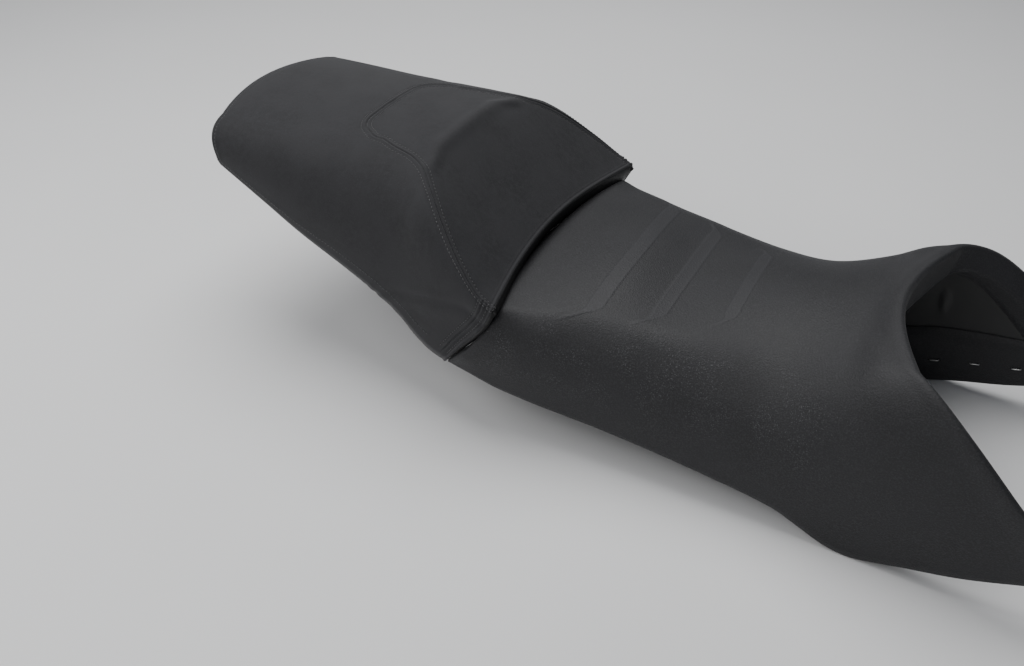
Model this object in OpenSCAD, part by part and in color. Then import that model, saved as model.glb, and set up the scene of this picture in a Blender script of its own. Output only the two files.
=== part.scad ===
// Two-piece saddle of an adventure motorcycle: a rider seat with wings beside the tank, and a
// pillion seat behind it. +X points to the front of the motorcycle, +Y to its left, +Z up.
// The origin is the centre of the frame's front cross bar, which the rider seat hooks on to.

/* [Rider seat] */
// Height of the rider seat's top above the front cross bar, just below its lowest part
saddle_h = 60; // [56:1:66]
// Half width of the rider seat's skirt, at the waist
rider_skirt_half_w = 156; // [150:1:160]
// Forward reach of the wings beside the tank
wing_reach = 270; // [255:1:280]
// Depth of the skirt below the cross bar, behind the wings
skirt_depth = 91; // [84:1:96]

/* [Pillion seat] */
// Height of the pillion seat's flat top above the front cross bar
pillion_h = 173; // [168:1:178]
// Distance from the front cross bar to the back of the pillion seat
pillion_rear = 690; // [680:1:700]
// Half width of the pillion seat's rear skirt
pillion_rear_half_w = 118; // [112:1:122]

/* [Layers] */
// Thickness of the covers
cover_t = 2; // [1.5:0.25:2.5]
// Thickness of the moulded base pans
pan_t = 3; // [2.5:0.25:4]
// Thickness of a skirt at its lower edge: cover, foam and pan
skirt_t = 18; // [16:1:20]

/* [Hardware] */
// Radius of the frame's front cross bar
bar_r = 6; // [5:0.5:7]
// Thickness of the steel brackets
steel_t = 3; // [2.5:0.5:4]
// Diameter of the latch striker's rod
striker_d = 8; // [7:0.5:9]
// Diameter of the rubber buffers
buffer_d = 26; // [22:1:28]

/* [Hidden] */
$fn = 48;

PLASTIC = "#1b1c1d";
FOAM = "#c9bd93";
VINYL = "#34363a";
SUEDE = "#3c3e42";
RUBBER = "#111213";
ZINC = "#b9bcc0";
BRASS = "#b08d45";

bar_fit = 0.1;        // the hook's seat is this much larger than the bar, in radius
insert_r = 5.5;       // brass inserts for M6 screws
insert_bore_r = 3.1;
insert_l = 14;
screw_r = 3;
screw_l = 13;
screw_hole_r = 3.3;
head_r = 5.5;
head_h = 3.5;
socket_r = 2;
socket_depth = 2;

// ---- Smooth lines through a few points -------------------------------------------------

// A line is a list of [x, value] pairs in order of x. smooth() follows it with a cubic.
function last(list) = list[len(list) - 1];
function span_at(line, x, i = 0) =
    i >= len(line) - 2 || x < line[i + 1][0] ? i : span_at(line, x, i + 1);
function slope(line, i) =
    let (a = line[max(i - 1, 0)], b = line[min(i + 1, len(line) - 1)])
    (b[1] - a[1]) / (b[0] - a[0]);
function smooth(line, x_wanted) =
    let (
        x = min(max(x_wanted, line[0][0]), last(line)[0]),
        i = span_at(line, x),
        a = line[i],
        b = line[i + 1],
        h = b[0] - a[0],
        t = (x - a[0]) / h
    )
    a[1] * (1 + 2 * t) * (1 - t) ^ 2 + b[1] * t ^ 2 * (3 - 2 * t)
    + h * (slope(line, i) * t * (1 - t) ^ 2 - slope(line, i + 1) * t ^ 2 * (1 - t));

// ---- Cross-sections ---------------------------------------------------------------------

// v runs from 0 on the centre line to 1 on the lower edge, and reaches the shoulder at v_shoulder.
v_shoulder = 0.5;
function side_share(v) = max(0, (v - v_shoulder) / (1 - v_shoulder));
function bezier(a, b, c, t) = a * (1 - t) ^ 2 + b * 2 * t * (1 - t) + c * t ^ 2;

// A section is [top, shoulder half width, crown, control half width, edge half width, edge height]:
// a shallow parabola out to the shoulder, then a curve down to the lower edge.
function outer_yz(s, v) =
    v <= v_shoulder
    ? [s[1] * v / v_shoulder, s[0] - s[2] * (v / v_shoulder) ^ 2]
    : bezier(
        [s[1], s[0] - s[2]],
        [s[3], s[0] - s[2] - 2 * s[2] / s[1] * (s[3] - s[1])],
        [s[4], s[5]],
        side_share(v)
    );
// The pan's underside in the same section, with its ceiling at height c. It is narrower than the
// skin by these widths at the shoulder and at the curve's control point.
shoulder_gap = 12;
control_gap = 20;
function inner_yz(s, c, v) =
    v <= v_shoulder
    ? [(s[1] - shoulder_gap) * v / v_shoulder, c]
    : bezier(
        [s[1] - shoulder_gap, c],
        [s[3] - control_gap, c],
        [s[4] - skirt_t, s[5]],
        side_share(v)
    );

// ---- Rider seat lines -------------------------------------------------------------------

rider_top = [
    [-345, saddle_h - 7], [-317, saddle_h - 6], [-303, saddle_h + 4], [-280, saddle_h + 8],
    [-205, saddle_h + 14], [-145, saddle_h + 4], [-85, saddle_h + 10], [-15, saddle_h + 20],
    [32, saddle_h + 29], [60, saddle_h + 40], [91, saddle_h + 44], [150, saddle_h + 44],
    [200, saddle_h + 38], [wing_reach, saddle_h + 28]
];
rider_shoulder = [
    [-345, 148], [-290, 144], [-250, 128], [-205, 110], [-150, 99], [-80, 82], [-20, 80],
    [40, 97], [91, 112], [150, 124], [wing_reach, 136]
];
rider_crown = [
    [-345, 4], [-290, 8], [-205, 11], [-150, 5], [-80, 10], [-20, 13], [40, 8], [91, 4],
    [150, 6], [wing_reach, 8]
];
rider_control = [
    [-345, 176], [-290, 177], [-205, 160], [-150, 150], [-80, 148], [-20, 152], [40, 158],
    [91, 162], [wing_reach, 162]
];
rider_edge = [
    [-345, rider_skirt_half_w + 8], [-250, rider_skirt_half_w + 4],
    [-150, rider_skirt_half_w], [-50, rider_skirt_half_w], [60, rider_skirt_half_w + 2],
    [160, rider_skirt_half_w + 4], [wing_reach, rider_skirt_half_w + 2]
];
rider_edge_z = [
    [-345, -17], [-287, -34], [-173, -45], [-66, -56], [4, -66], [34, 13 - skirt_depth],
    [58, 3 - skirt_depth], [80, -skirt_depth], [100, 4 - skirt_depth], [127, 12 - skirt_depth],
    [176, -66], [222, -49], [wing_reach, -29]
];
rider_ceiling = [
    [-345, -8], [-250, -8], [-205, -7], [-120, 4], [-84, 16.1], [-66, 16.4], [-30, 16.2],
    [4, 16.2], [14, 17], [40, 42], [65, 62], [91, 78], [150, 76], [200, 69], [wing_reach, 58]
];
function rider_section(x) = [
    smooth(rider_top, x), smooth(rider_shoulder, x), smooth(rider_crown, x),
    smooth(rider_control, x), smooth(rider_edge, x), smooth(rider_edge_z, x)
];

// The rear edge runs forward to the shoulders and then slants back down the sides. The front
// edge follows the tank and then the upper edge of each wing out to its tip.
function rider_rear_x(v) = -317 + 27 * min(1, v / v_shoulder) ^ 1.3 - 55 * side_share(v) ^ 2;
function rider_front_x(v) =
    60 + 31 * min(1, v / v_shoulder) ^ 2 + (wing_reach - 91) * side_share(v) ^ 1.15;

// ---- Pillion seat lines -----------------------------------------------------------------

lip_z = pillion_h - 93;
pillion_top = [
    [-pillion_rear, pillion_h - 5], [18 - pillion_rear, pillion_h - 1],
    [50 - pillion_rear, pillion_h], [-440, pillion_h], [-420, pillion_h - 2],
    [-404, pillion_h - 9], [-380, pillion_h - 29], [-340, pillion_h - 65], [-308, lip_z],
    [-288, lip_z - 18]
];
pillion_shoulder = [
    [-pillion_rear, 94], [-600, 92], [-520, 76], [-491, 70], [-453, 82], [-424, 90],
    [-405, 101], [-385, 119], [-363, 138], [-334, 157], [-307, 169], [-288, 171]
];
pillion_crown = [
    [-pillion_rear, 12], [-600, 11], [-491, 4], [-453, 6], [-424, 7], [-405, 5],
    [-385, -1], [-363, -3], [-334, -3], [-308, -4], [-288, -10]
];
pillion_control = [
    [-pillion_rear, 126], [-597, 141], [-480, 154], [-412, 161], [-363, 170], [-307, 177],
    [-288, 179]
];
pillion_edge = [
    [-pillion_rear, pillion_rear_half_w], [-660, pillion_rear_half_w + 6],
    [-597, pillion_rear_half_w + 13], [-480, pillion_rear_half_w + 26],
    [-412, pillion_rear_half_w + 35], [-350, pillion_rear_half_w + 46],
    [-288, pillion_rear_half_w + 49]
];
pillion_edge_z = [
    [-pillion_rear, 122], [-660, 113], [-597, 86], [-549, 65], [-480, 41], [-439, 25],
    [-412, 11], [-392, -4], [-372, -14], [-350, -18], [-288, -18]
];
pillion_ceiling = [
    [-pillion_rear, 119.5], [-660, 119.2], [-580, 119.2], [-500, 114], [-430, 101], [-350, 57],
    [-288, 50]
];
function pillion_section(x) = [
    smooth(pillion_top, x), smooth(pillion_shoulder, x), smooth(pillion_crown, x),
    smooth(pillion_control, x), smooth(pillion_edge, x), smooth(pillion_edge_z, x)
];
function pillion_rear_x(v) =
    -pillion_rear + 15 * min(1, v / v_shoulder) ^ 2 + 13 * side_share(v) ^ 2;
function pillion_front_x(v) = -308 + 20 * min(1, v / v_shoulder) ^ 2 - 62 * side_share(v) ^ 3;

// ---- Layered shells ---------------------------------------------------------------------

// Columns run from the left edge to the right one, rows from the rear to the front.
half_cols = 10;
cols = 2 * half_cols + 1;
function col_v(j) = abs(j - half_cols) / half_cols;
function col_side(j) = j < half_cols ? 1 : -1;
function on_side(x, yz, j) = [x, col_side(j) * yz[0], yz[1]];
function mix(a, b, t) = a * (1 - t) + b * t;

// The pan's underside stops short of both ends. Its first and last rows are its rims.
rim_step = 0.02;
rim_taper = 0.6;    // the insets shrink by this share towards the lower edges
turns = [1, 0.55];
function outer_share(shares, i) = shares[i - len(turns)];
function inner_share(shares, i) =
    i < len(turns)
    ? i * rim_step
    : i >= len(shares) + len(turns)
        ? 1 - (len(shares) + 2 * len(turns) - 1 - i) * rim_step
        : mix(len(turns) * rim_step, 1 - len(turns) * rim_step, outer_share(shares, i));
function inner_grid(section, ceiling, rear_x, front_x, shares, rear_inset, front_inset) = [
    for (i = [0 : len(shares) + 2 * len(turns) - 1]) [
        for (j = [0 : cols - 1])
        let (
            v = col_v(j),
            part = 1 - rim_taper * v,
            rear = rear_x(v) + rear_inset * part,
            front = front_x(v) - front_inset * part,
            x = mix(rear, front, inner_share(shares, i))
        )
        on_side(x, inner_yz(section(x), smooth(ceiling, x), v), j)
    ]
];

// The skin turns over each end of the foam: it leads out a little, less towards the lower edge,
// and bends down to just outside the pan's rim.
rim_gap = 6;
turn_start = 0.15;
function turned(edge, rim, lead, gap, w) = [
    for (j = [0 : cols - 1])
    let (
        goal = rim[j] + [gap, 0, 0],
        bend = mix(edge[j], goal, turn_start) + [lead * (1 - col_v(j)), 0, 0]
    )
    bezier(edge[j], bend, goal, w)
];
function outer_row(section, rear_x, front_x, share) = [
    for (j = [0 : cols - 1])
    let (v = col_v(j), x = mix(rear_x(v), front_x(v), share))
    on_side(x, outer_yz(section(x), v), j)
];
function outer_grid(section, rear_x, front_x, shares, inner, rear_lead, front_lead) =
    let (rows = [for (share = shares) outer_row(section, rear_x, front_x, share)])
    concat(
        [for (w = turns) turned(rows[0], inner[0], rear_lead, -rim_gap, w)],
        rows,
        [
            for (k = [len(turns) - 1 : -1 : 0])
            turned(last(rows), last(inner), front_lead, rim_gap, turns[k])
        ]
    );

// The layer a given distance in from one grid towards the other
function layer_in(from, to, t) = [
    for (i = [0 : len(from) - 1]) [
        for (j = [0 : cols - 1])
        let (d = to[i][j] - from[i][j])
        from[i][j] + d * min(0.45, t / norm(d))
    ]
];

// A closed solid between two grids, over the cells that keep(i, j) picks. The cells' diagonals
// are the same on both grids, and mirrored from left to right.
function corner(i, j) = i * cols + j;
function quad(a, b, c, d) = [[c, b, a], [d, c, a]];
module shell_between(upper, lower, keep = function (i, j) true) {
    rows = len(upper);
    under = rows * cols;
    function kept(i, j) = i >= 0 && j >= 0 && i < rows - 1 && j < cols - 1 && keep(i, j);
    faces = [
        for (i = [0 : rows - 2])
        for (j = [0 : cols - 2])
        if (kept(i, j))
        let (
            a = corner(i, j),
            b = corner(i, j + 1),
            c = corner(i + 1, j + 1),
            d = corner(i + 1, j),
            left = j < half_cols
        )
        each concat(
            left ? quad(a, b, c, d) : quad(b, c, d, a),
            left
            ? quad(under + c, under + b, under + a, under + d)
            : quad(under + d, under + c, under + b, under + a),
            kept(i - 1, j) ? [] : quad(b, a, under + a, under + b),
            kept(i + 1, j) ? [] : quad(d, c, under + c, under + d),
            kept(i, j - 1) ? [] : quad(a, d, under + d, under + a),
            kept(i, j + 1) ? [] : quad(c, b, under + b, under + c)
        )
    ];
    points = concat([for (row = upper) each row], [for (row = lower) each row]);
    polyhedron(points = points, faces = faces);
}

// ---- Rider seat grids -------------------------------------------------------------------

// Distances from the skin's ends in to the pan's rims, and how far the skin leads out there
rider_rear_inset = 14;
rider_front_inset = 14;
rider_rear_lead = -6;
rider_front_lead = 8;
rider_shares = [0, 0.035, 0.09, 0.17, 0.27, 0.37, 0.47, 0.57, 0.67, 0.77, 0.86, 0.94, 1];
rider_inner = inner_grid(
    function (x) rider_section(x), rider_ceiling, function (v) rider_rear_x(v),
    function (v) rider_front_x(v), rider_shares, rider_rear_inset, rider_front_inset
);
rider_outer = outer_grid(
    function (x) rider_section(x), function (v) rider_rear_x(v),
    function (v) rider_front_x(v), rider_shares, rider_inner, rider_rear_lead,
    rider_front_lead
);
rider_foam_top = layer_in(rider_outer, rider_inner, cover_t);
rider_pan_top = layer_in(rider_inner, rider_outer, pan_t);

// ---- Pillion seat grids -----------------------------------------------------------------

// The centre panel runs from the seam's row to the lip, between the shoulders. The front strip
// is the turn below the lip.
pillion_rear_inset = 14;
pillion_front_inset = 26;
pillion_rear_lead = -6;
pillion_front_lead = 1;
pillion_seam_row = 8;
pillion_seam_cols = round(v_shoulder * half_cols);
pillion_shares = [
    0, 0.04, 0.11, 0.2, 0.3, 0.39, 0.475, 0.56, 0.64, 0.7, 0.745, 0.79, 0.86, 0.93, 1
];
pillion_inner = inner_grid(
    function (x) pillion_section(x), pillion_ceiling, function (v) pillion_rear_x(v),
    function (v) pillion_front_x(v), pillion_shares, pillion_rear_inset, pillion_front_inset
);
pillion_outer = outer_grid(
    function (x) pillion_section(x), function (v) pillion_rear_x(v),
    function (v) pillion_front_x(v), pillion_shares, pillion_inner, pillion_rear_lead,
    pillion_front_lead
);
pillion_foam_top = layer_in(pillion_outer, pillion_inner, cover_t);
pillion_pan_top = layer_in(pillion_inner, pillion_outer, pan_t);
pillion_lip_row = len(turns) + len(pillion_shares) - 1;
function in_strip(i, j) = i >= pillion_lip_row;
function in_centre_panel(i, j) =
    i >= pillion_seam_row && !in_strip(i, j) && abs(j + 0.5 - half_cols) < pillion_seam_cols;
function in_side_panel(i, j) = !in_strip(i, j) && !in_centre_panel(i, j);

// ---- Fasteners --------------------------------------------------------------------------

module insert() {
    rotate_extrude() translate([insert_bore_r, 0]) square([insert_r - insert_bore_r, insert_l]);
}
// A pan-head screw with its head below z = 0
module pan_screw() {
    difference() {
        union() {
            cylinder(r = screw_r, h = screw_l);
            translate([0, 0, -head_h]) cylinder(r = head_r, h = head_h);
        }
        translate([0, 0, -head_h - 1]) cylinder(r = socket_r, h = socket_depth + 1, $fn = 6);
    }
}
module at_each(places) {
    for (p = places) translate(p) children();
}

// ---- Rider seat modules -----------------------------------------------------------------

module rider_base_pan() {
    color(PLASTIC) shell_between(rider_pan_top, rider_inner);
}
module rider_foam() {
    color(FOAM) shell_between(rider_foam_top, rider_pan_top);
}
module rider_cover() {
    color(VINYL) shell_between(rider_outer, rider_foam_top);
}

// Staples hold the cover's hem inside the skirts, this far down the lowest column of the pan
staple_share = 0.6;
staple = [9, 1.2, 1.2];
staple_pitch = 40;
lowest_col = (half_cols - 1) / half_cols;
module staple_rows(section, ceiling, xs) {
    for (x = xs)
        for (side = [-1, 1])
            let (
                s = section(x),
                c = smooth(ceiling, x),
                yz = mix(inner_yz(s, c, lowest_col), inner_yz(s, c, 1), staple_share)
            )
            translate([x, side * yz[0], yz[1]]) cube(staple, center = true);
}
module rider_cover_staples() {
    color(ZINC) staple_rows(function (x) rider_section(x), rider_ceiling, [-300 : staple_pitch : 180]);
}

hook_y = 42;
bracket_z = 13;
bracket_places = [for (x = [-50, -20]) for (y = [-30, 30]) [x, y, 0]];
hook_wall = 7;
hook_t = 4;
hook_web = 26;
upper_lip = 11;
lower_lip = 16;
module hook_ear() {
    slot = bar_r + bar_fit;
    rotate([90, 0, 0])
        linear_extrude(height = hook_t, center = true)
            difference() {
                union() {
                    circle(r = bar_r + hook_wall);
                    translate([-hook_web, 0]) square([hook_web, bracket_z + steel_t]);
                    translate([-1, 0]) square([upper_lip + 1, bar_r + hook_wall]);
                    translate([0, -bar_r - hook_wall]) square([lower_lip, hook_wall - 1]);
                }
                circle(r = slot);
                translate([0, -slot]) square([2 * lower_lip, 2 * slot]);
            }
}
bracket_l = 64;
bracket_half_w = hook_y + hook_t / 2;
module front_hook_bracket() {
    color(ZINC) {
        difference() {
            translate([-bracket_l, -bracket_half_w, bracket_z])
                cube([bracket_l, 2 * bracket_half_w, steel_t]);
            at_each(bracket_places)
                translate([0, 0, bracket_z - 1]) cylinder(r = screw_hole_r, h = steel_t + 2);
        }
        for (side = [-1, 1]) translate([0, side * hook_y, 0]) hook_ear();
    }
}
module front_bracket_inserts() {
    color(BRASS)
        at_each(bracket_places) translate([0, 0, bracket_z + steel_t]) insert();
}
module front_bracket_screws() {
    color(ZINC) at_each(bracket_places) translate([0, 0, bracket_z]) pan_screw();
}

// A rubber buffer hangs below a pan whose underside is at height top,
// and its barbed plug is pushed up through a hole in the pan.
foot_chamfer = 2;
cap_chamfer = 3;
plug_r = 5;
barb_r = 8;
barb_z = 6;
plug_l = 12;
module buffer(top, height) {
    r = buffer_d / 2;
    translate([0, 0, top - height])
        rotate_extrude()
            polygon([
                [0, 0], [r - foot_chamfer, 0], [r, foot_chamfer], [r, height - cap_chamfer],
                [r - cap_chamfer, height], [plug_r, height], [plug_r, height + barb_z - 1],
                [barb_r, height + barb_z], [plug_r, height + plug_l], [0, height + plug_l]
            ]);
}
mid_buffer_x = -175;
mid_buffer_y = 52;
mid_buffer_top = -4.2;
rear_buffer_x = -280;
rear_buffer_y = 72;
rear_buffer_top = -8;
buffer_foot_z = -24;
module buffer_pair(x, y, top, foot) {
    for (side = [-1, 1]) translate([x, side * y, 0]) buffer(top, top - foot);
}
module rider_mid_buffers() {
    color(RUBBER) buffer_pair(mid_buffer_x, mid_buffer_y, mid_buffer_top, buffer_foot_z);
}
module rider_rear_buffers() {
    color(RUBBER) buffer_pair(rear_buffer_x, rear_buffer_y, rear_buffer_top, buffer_foot_z);
}
// The pads under the front edge stand square to the pan's slope
pad_slope = 38;
pad_h = 10;
pad_place = [50, 62, 50.2];
module tank_rest_pads() {
    color(RUBBER)
        for (side = [-1, 1])
            translate([pad_place[0], side * pad_place[1], pad_place[2]])
                rotate([0, -pad_slope, 0]) buffer(0, pad_h);
}

tongue_z = -11.2;
tongue_hole_r = 4.25;
tongue_hole_x = -384;
root_x = -226;
root_half_w = 38;
neck_x = -345;
neck_half_w = 22;
tip_x = -398;
tip_half_w = 12;
tip_l = 10;
tongue_half = [
    [root_x, root_half_w], [neck_x, root_half_w], [neck_x - 15, neck_half_w],
    [tip_x + tip_l, neck_half_w], [tip_x, tip_half_w]
];
tongue_places = [for (x = [-284, -240]) for (y = [-26, 26]) [x, y, 0]];
module rear_tongue_plate() {
    color(ZINC)
        difference() {
            translate([0, 0, tongue_z])
                linear_extrude(height = steel_t)
                    polygon(concat(
                        tongue_half,
                        [for (i = [len(tongue_half) - 1 : -1 : 0]) [tongue_half[i][0], -tongue_half[i][1]]]
                    ));
            translate([tongue_hole_x, 0, tongue_z - 1]) cylinder(r = tongue_hole_r, h = steel_t + 2);
            at_each(tongue_places)
                translate([0, 0, tongue_z - 1]) cylinder(r = screw_hole_r, h = steel_t + 2);
        }
}
module rear_tongue_inserts() {
    color(BRASS) at_each(tongue_places) translate([0, 0, tongue_z + steel_t]) insert();
}
module rear_tongue_screws() {
    color(ZINC) at_each(tongue_places) translate([0, 0, tongue_z]) pan_screw();
}

// ---- Pillion seat modules ---------------------------------------------------------------

module pillion_base_pan() {
    color(PLASTIC)
        shell_between(pillion_pan_top, pillion_inner);
}
module pillion_foam() {
    color(FOAM)
        shell_between(pillion_foam_top, pillion_pan_top);
}
module pillion_centre_cover() {
    color(SUEDE)
        shell_between(pillion_outer, pillion_foam_top, function (i, j) in_centre_panel(i, j));
}
module pillion_side_cover() {
    color(SUEDE)
        shell_between(pillion_outer, pillion_foam_top, function (i, j) in_side_panel(i, j));
}
module pillion_front_strip() {
    color(VINYL) shell_between(pillion_outer, pillion_foam_top, function (i, j) in_strip(i, j));
}
module pillion_cover_staples() {
    color(ZINC)
        staple_rows(function (x) pillion_section(x), pillion_ceiling, [-640 : staple_pitch : -360]);
}

// The front tongues reach under a cross member of the frame. Their flanges lie along the pan's
// slope, and the screws stand square to it.
tongue_y = 60;
tongue_w = 34;
slope_angle = 32;
flange_mid = [-392, 79.8];
module on_slope() {
    translate([flange_mid[0], 0, flange_mid[1]]) rotate([0, slope_angle, 0]) children();
}
tongue_screw_places = [for (x = [-9, 9]) [x, 0, 0]];
flange_half_l = 20;
leg_x = -375;
foot_z = 37;
foot_tip_x = -346;
tongue_path = [
    flange_mid + flange_half_l * [-cos(slope_angle), sin(slope_angle)],
    [leg_x, flange_mid[1] - (leg_x - flange_mid[0]) * tan(slope_angle)],
    [leg_x, foot_z],
    [foot_tip_x, foot_z]
];
function square_to(a, b) = [a[1] - b[1], b[0] - a[0]] / norm(b - a);
// A bent sheet's other face, with mitred bends
function other_face(path, t) =
    let (end = len(path) - 1) [
        for (i = [0 : end])
        let (
            before = square_to(path[max(i - 1, 0)], path[max(i, 1)]),
            after = square_to(path[min(i, end - 1)], path[min(i + 1, end)])
        )
        path[i] - t * (before + after) / (1 + before * after)
    ];
module front_tongue(side) {
    below = other_face(tongue_path, steel_t);
    translate([0, side * tongue_y, 0])
        difference() {
            translate([0, tongue_w / 2, 0])
                rotate([90, 0, 0])
                    linear_extrude(height = tongue_w)
                        polygon(concat(tongue_path, [for (i = [len(below) - 1 : -1 : 0]) below[i]]));
            on_slope()
                at_each(tongue_screw_places)
                    translate([0, 0, -steel_t - 1]) cylinder(r = screw_hole_r, h = steel_t + 2);
        }
}
module left_front_tongue() {
    color(ZINC) front_tongue(1);
}
module right_front_tongue() {
    color(ZINC) front_tongue(-1);
}
module on_both_flanges() {
    for (side = [-1, 1])
        translate([0, side * tongue_y, 0]) on_slope() at_each(tongue_screw_places) children();
}
module front_tongue_inserts() {
    color(BRASS) on_both_flanges() insert();
}
module front_tongue_screws() {
    color(ZINC) on_both_flanges() translate([0, 0, -steel_t]) pan_screw();
}

// The latch striker is a U of round rod, threaded at both ends
striker_x = -620;
striker_leg_y = 16;
striker_bar_z = 80;
striker_plate_z = 116;
striker_bend_r = 9;
striker_leg = 37;
striker_plate_l = 68;
striker_plate_w = 72;
striker_places = [for (x = [-24, 24]) for (y = [-26, 26]) [striker_x + x, y, 0]];
module striker_plate() {
    color(ZINC)
        difference() {
            translate([striker_x - striker_plate_l / 2, -striker_plate_w / 2, striker_plate_z])
                cube([striker_plate_l, striker_plate_w, steel_t]);
            for (side = [-1, 1])
                translate([striker_x, side * striker_leg_y, striker_plate_z - 1])
                    cylinder(d = striker_d + 0.4, h = steel_t + 2);
            at_each(striker_places)
                translate([0, 0, striker_plate_z - 1]) cylinder(r = screw_hole_r, h = steel_t + 2);
        }
}
module striker_bend(side) {
    translate([0, side * (striker_leg_y - striker_bend_r), striker_bar_z + striker_bend_r])
        rotate([0, 90, 0])
            rotate([0, 0, side > 0 ? 0 : -90])
                rotate_extrude(angle = 90)
                    translate([striker_bend_r, 0]) circle(d = striker_d);
}
module latch_striker() {
    flat = striker_leg_y - striker_bend_r;
    color(ZINC)
        translate([striker_x, 0, 0]) {
            translate([0, flat, striker_bar_z])
                rotate([90, 0, 0]) cylinder(d = striker_d, h = 2 * flat);
            for (side = [-1, 1]) {
                striker_bend(side);
                translate([0, side * striker_leg_y, striker_bar_z + striker_bend_r])
                    cylinder(d = striker_d, h = striker_leg);
            }
        }
}
nut_h = 5;
nut_r = 7.5;
module striker_nuts() {
    color(ZINC)
        for (side = [-1, 1])
            for (z = [striker_plate_z - nut_h, striker_plate_z + steel_t])
                translate([striker_x, side * striker_leg_y, z])
                    difference() {
                        cylinder(r = nut_r, h = nut_h, $fn = 6);
                        translate([0, 0, -1]) cylinder(d = striker_d + 0.2, h = nut_h + 2);
                    }
}
module striker_inserts() {
    color(BRASS)
        at_each(striker_places) translate([0, 0, striker_plate_z + steel_t]) insert();
}
module striker_screws() {
    color(ZINC) at_each(striker_places) translate([0, 0, striker_plate_z]) pan_screw();
}

// Each pair of the pillion seat's buffers is [x, y, top, foot]
front_pair = [-480, 50, 111.5, 88];
rear_pair = [-650, 68, 119.2, 101];
module pillion_front_buffers() {
    color(RUBBER) buffer_pair(front_pair[0], front_pair[1], front_pair[2], front_pair[3]);
}
module pillion_rear_buffers() {
    color(RUBBER) buffer_pair(rear_pair[0], rear_pair[1], rear_pair[2], rear_pair[3]);
}

rider_base_pan();
rider_foam();
rider_cover();
rider_cover_staples();
front_hook_bracket();
front_bracket_inserts();
front_bracket_screws();
rider_mid_buffers();
rider_rear_buffers();
tank_rest_pads();
rear_tongue_plate();
rear_tongue_inserts();
rear_tongue_screws();
pillion_base_pan();
pillion_foam();
pillion_centre_cover();
pillion_side_cover();
pillion_front_strip();
pillion_cover_staples();
left_front_tongue();
right_front_tongue();
front_tongue_inserts();
front_tongue_screws();
striker_plate();
latch_striker();
striker_nuts();
striker_inserts();
striker_screws();
pillion_front_buffers();
pillion_rear_buffers();
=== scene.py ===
"""Looks of a two-piece motorcycle seat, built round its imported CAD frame.

+X points forward, +Y left and +Z up. Lines and sizes are in millimetres, as in the CAD source,
and to_object() turns them into metres.
"""
import math

import bpy
import numpy as np
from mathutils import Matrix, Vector
from mathutils.bvhtree import BVHTree
from mathutils.kdtree import KDTree


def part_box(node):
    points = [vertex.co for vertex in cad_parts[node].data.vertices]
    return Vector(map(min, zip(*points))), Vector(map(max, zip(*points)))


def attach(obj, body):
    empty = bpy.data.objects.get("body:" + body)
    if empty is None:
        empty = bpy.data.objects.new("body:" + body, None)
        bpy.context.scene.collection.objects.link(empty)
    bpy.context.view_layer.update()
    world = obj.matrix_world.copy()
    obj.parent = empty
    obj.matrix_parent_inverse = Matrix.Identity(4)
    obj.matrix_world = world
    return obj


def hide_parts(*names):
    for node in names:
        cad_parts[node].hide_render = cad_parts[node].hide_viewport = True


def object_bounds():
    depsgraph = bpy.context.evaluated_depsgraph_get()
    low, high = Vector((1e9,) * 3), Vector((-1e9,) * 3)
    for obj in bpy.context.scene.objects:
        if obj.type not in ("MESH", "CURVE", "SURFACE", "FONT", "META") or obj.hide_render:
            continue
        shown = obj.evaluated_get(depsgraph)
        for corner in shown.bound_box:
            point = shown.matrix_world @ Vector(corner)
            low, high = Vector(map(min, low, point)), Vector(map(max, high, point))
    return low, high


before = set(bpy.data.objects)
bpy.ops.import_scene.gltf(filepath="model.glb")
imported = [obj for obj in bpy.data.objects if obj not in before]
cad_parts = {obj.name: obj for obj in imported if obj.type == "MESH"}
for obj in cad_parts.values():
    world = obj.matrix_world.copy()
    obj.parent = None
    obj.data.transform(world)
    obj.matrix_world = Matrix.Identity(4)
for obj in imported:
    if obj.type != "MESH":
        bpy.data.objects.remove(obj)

cad_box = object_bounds()
MM = 0.001

# ---- Driving dimensions, as in the CAD source -------------------------------------------------

SADDLE_H = 60
RIDER_SKIRT_HALF_W = 156
WING_REACH = 270
SKIRT_DEPTH = 91
PILLION_H = 173
PILLION_REAR = 690
PILLION_REAR_HALF_W = 118
COVER_T = 2
PAN_T = 3
SKIRT_T = 18
V_SHOULDER = 0.5

# The pan's underside lies this far inside the skin's shoulder lines and control lines
SHOULDER_GAP = 12
CONTROL_GAP = 20

# The pan's rims are set in from the skin's ends, and less so by this share at the lower edges
RIM_TAPER = 0.6

# The skin's turn round a rim lies over this share of the pan's length. It bends at a point this
# share of the way in, and ends this far past the rim
RIM_SHARE = 0.04
TURN_START = 0.15
RIM_GAP = 6

# A layer takes up at most this share of the way between a pad's two grids
LAYER_LIMIT = 0.45

# ---- Smooth lines and sections -----------------------------------------------------------------


def smooth(line, x):
    """The cubic through a line of (x, value) points, at one x or an array of them."""
    xs = np.array([p[0] for p in line], float)
    ys = np.array([p[1] for p in line], float)
    slopes = np.empty_like(ys)
    slopes[1:-1] = (ys[2:] - ys[:-2]) / (xs[2:] - xs[:-2])
    slopes[0] = (ys[1] - ys[0]) / (xs[1] - xs[0])
    slopes[-1] = (ys[-1] - ys[-2]) / (xs[-1] - xs[-2])
    x = np.clip(x, xs[0], xs[-1])
    i = np.clip(np.searchsorted(xs, x, side="right") - 1, 0, len(xs) - 2)
    h = xs[i + 1] - xs[i]
    t = (x - xs[i]) / h
    u = 1 - t
    ends = ys[i] * (1 + 2 * t) * u**2 + ys[i + 1] * t**2 * (3 - 2 * t)
    return ends + h * (slopes[i] * t * u**2 - slopes[i + 1] * t**2 * u)


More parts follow.
